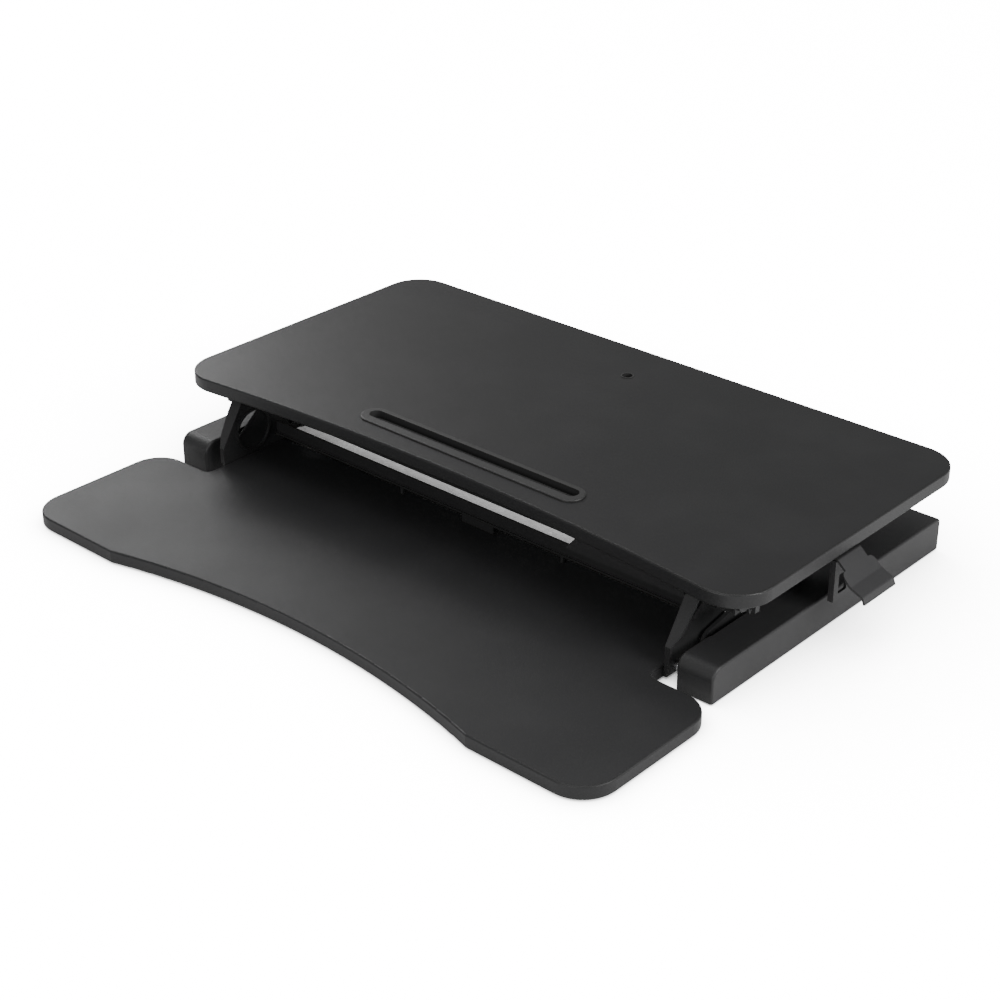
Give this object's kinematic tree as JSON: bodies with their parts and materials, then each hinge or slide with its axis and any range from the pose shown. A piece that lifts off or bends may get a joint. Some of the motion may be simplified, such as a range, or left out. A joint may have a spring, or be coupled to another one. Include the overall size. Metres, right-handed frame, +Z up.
{
  "type": "standing desk converter",
  "caption": "Height-adjustable desk-top platform on an X-shaped scissor lift, with a keyboard tray hung in front and release levers at the sides.",
  "frame": {"origin": "on the desk top, under the middle of the whole object's box, in its lowest position", "axes": "+X to the right of the person using it, +Y away from them, +Z up"},
  "size_m": [0.8822, 0.628, 0.114],
  "materials": {
    "board_finish": "black textured laminate over fibreboard",
    "tray_finish": "black textured laminate over fibreboard",
    "black_plastic": "moulded black plastic",
    "rail_plastic": "fine-textured black plastic",
    "foot_rubber": "black rubber",
    "roller_plastic": "pale acetal",
    "zinc_steel": "zinc-plated steel",
    "bearing_plastic": "black nylon",
    "spring_paint": "gloss black paint",
    "lever_paint": "satin black paint",
    "steel_paint": "fine-textured black powder coat"
  },
  "bodies": {
    "base": {"rail_cover_right": "rail_plastic", "rail_cover_left": "rail_plastic", "base_channel_right": "steel_paint", "base_channel_left": "steel_paint", "base_cross_bars": "steel_paint", "lower_pivot_block_right": "bearing_plastic", "lower_pivot_block_left": "bearing_plastic", "rubber_feet": "foot_rubber", "base_screws": "zinc_steel"},
    "inner_arms": {"lift_arm_inner_right": "steel_paint", "lift_arm_inner_left": "steel_paint", "inner_cross_tube": "steel_paint", "lower_hinge_pins": "zinc_steel", "upper_roller_axles": "steel_paint", "centre_pins": "zinc_steel", "centre_washers": "bearing_plastic"},
    "outer_arms": {"lift_arm_outer_right": "steel_paint", "lift_arm_outer_left": "steel_paint", "outer_cross_tube": "steel_paint", "synchro_shaft": "steel_paint", "spring_cranks": "steel_paint", "lock_quadrant_right": "steel_paint", "lock_quadrant_left": "steel_paint", "lower_roller_axles": "zinc_steel"},
    "platform": {"platform_board": "board_finish", "tablet_slot": "black_plastic", "rear_grommet": "black_plastic", "keyboard_tray": "tray_finish", "tray_hanger_right": "steel_paint", "tray_hanger_left": "steel_paint", "tray_beam": "steel_paint", "tray_studs": "steel_paint", "tray_screws": "zinc_steel", "platform_channel_right": "steel_paint", "platform_channel_left": "steel_paint", "upper_pivot_block_right": "bearing_plastic", "upper_pivot_block_left": "bearing_plastic", "lever_bearings_right": "bearing_plastic", "lever_bearings_left": "bearing_plastic", "lever_return_spring_right": "zinc_steel", "lever_return_spring_left": "zinc_steel", "spring_cover": "steel_paint", "spring_anchors": "steel_paint", "platform_screws": "zinc_steel"},
    "right_lever": {"lever_paddle_right": "lever_paint", "lever_tab_right": "steel_paint", "lever_shaft_right": "zinc_steel", "lock_pawl_right": "steel_paint"},
    "left_lever": {"lever_paddle_left": "lever_paint", "lever_tab_left": "steel_paint", "lever_shaft_left": "zinc_steel", "lock_pawl_left": "steel_paint"},
    "upper_roller_right": {"upper_roller_right": "roller_plastic"},
    "upper_roller_left": {"upper_roller_left": "roller_plastic"},
    "lower_roller_right": {"lower_roller_right": "roller_plastic"},
    "lower_roller_left": {"lower_roller_left": "roller_plastic"},
    "spring_1_tube": {"gas_spring_tube_1": "spring_paint"},
    "spring_2_tube": {"gas_spring_tube_2": "spring_paint"},
    "spring_1_rod": {"gas_spring_rod_1": "zinc_steel"},
    "spring_2_rod": {"gas_spring_rod_2": "zinc_steel"}
  },
  "joints": [
    {"name": "lift", "type": "hinge", "parent": "base", "child": "inner_arms", "pos_m": [0, -0.038, 0.022], "axis": [1, 0, 0], "range_deg": [0, 61.5]},
    {"name": "scissor", "type": "hinge", "parent": "inner_arms", "child": "outer_arms", "pos_m": [0, 0.12425, 0.052], "axis": [1, 0, 0], "range_deg": [-123.5, 0.5]},
    {"name": "platform_level", "type": "hinge", "parent": "outer_arms", "child": "platform", "pos_m": [0, -0.038, 0.082], "axis": [1, 0, 0], "range_deg": [-0.5, 62]},
    {"name": "lever_right", "type": "hinge", "parent": "platform", "child": "right_lever", "pos_m": [0.378, 0.05, 0.087], "axis": [0, -1, 0], "range_deg": [0, 9], "stiffness_Nm_per_rad": 0.6, "springref_deg": -20.05},
    {"name": "lever_left", "type": "hinge", "parent": "platform", "child": "left_lever", "pos_m": [-0.378, 0.05, 0.087], "axis": [0, 1, 0], "range_deg": [0, 9], "stiffness_Nm_per_rad": 0.6, "springref_deg": -20.05},
    {"name": "upper_roller_right_spin", "type": "hinge", "parent": "inner_arms", "child": "upper_roller_right", "pos_m": [0.352, 0.2865, 0.082], "axis": [1, 0, 0], "continuous": true},
    {"name": "lower_roller_right_spin", "type": "hinge", "parent": "outer_arms", "child": "lower_roller_right", "pos_m": [0.352, 0.2865, 0.022], "axis": [1, 0, 0], "continuous": true},
    {"name": "upper_roller_left_spin", "type": "hinge", "parent": "inner_arms", "child": "upper_roller_left", "pos_m": [-0.352, 0.2865, 0.082], "axis": [1, 0, 0], "continuous": true},
    {"name": "lower_roller_left_spin", "type": "hinge", "parent": "outer_arms", "child": "lower_roller_left", "pos_m": [-0.352, 0.2865, 0.022], "axis": [1, 0, 0], "continuous": true},
    {"name": "spring_1_anchor_pivot", "type": "hinge", "parent": "platform", "child": "spring_1_tube", "pos_m": [0.176, 0.162, 0.088], "axis": [1, 0, 0], "range_deg": [-0.5, 3.24]},
    {"name": "spring_1_crank_pivot", "type": "hinge", "parent": "outer_arms", "child": "spring_1_rod", "pos_m": [0.176, -0.01845, 0.06807], "axis": [1, 0, 0], "range_deg": [-0.5, 64.74]},
    {"name": "spring_2_anchor_pivot", "type": "hinge", "parent": "platform", "child": "spring_2_tube", "pos_m": [0.258, 0.162, 0.088], "axis": [1, 0, 0], "range_deg": [-0.5, 3.24]},
    {"name": "spring_2_crank_pivot", "type": "hinge", "parent": "outer_arms", "child": "spring_2_rod", "pos_m": [0.258, -0.01845, 0.06807], "axis": [1, 0, 0], "range_deg": [-0.5, 64.74]}
  ],
  "couplings": [
    {"joint": "scissor", "follows": "lift", "ratio": -2},
    {"joint": "platform_level", "follows": "lift", "ratio": 1},
    {"joint": "spring_1_anchor_pivot", "follows": "lift", "ratio": 0.0445},
    {"joint": "spring_1_crank_pivot", "follows": "lift", "ratio": 1.0445},
    {"joint": "spring_2_anchor_pivot", "follows": "lift", "ratio": 0.0445},
    {"joint": "spring_2_crank_pivot", "follows": "lift", "ratio": 1.0445}
  ]
}
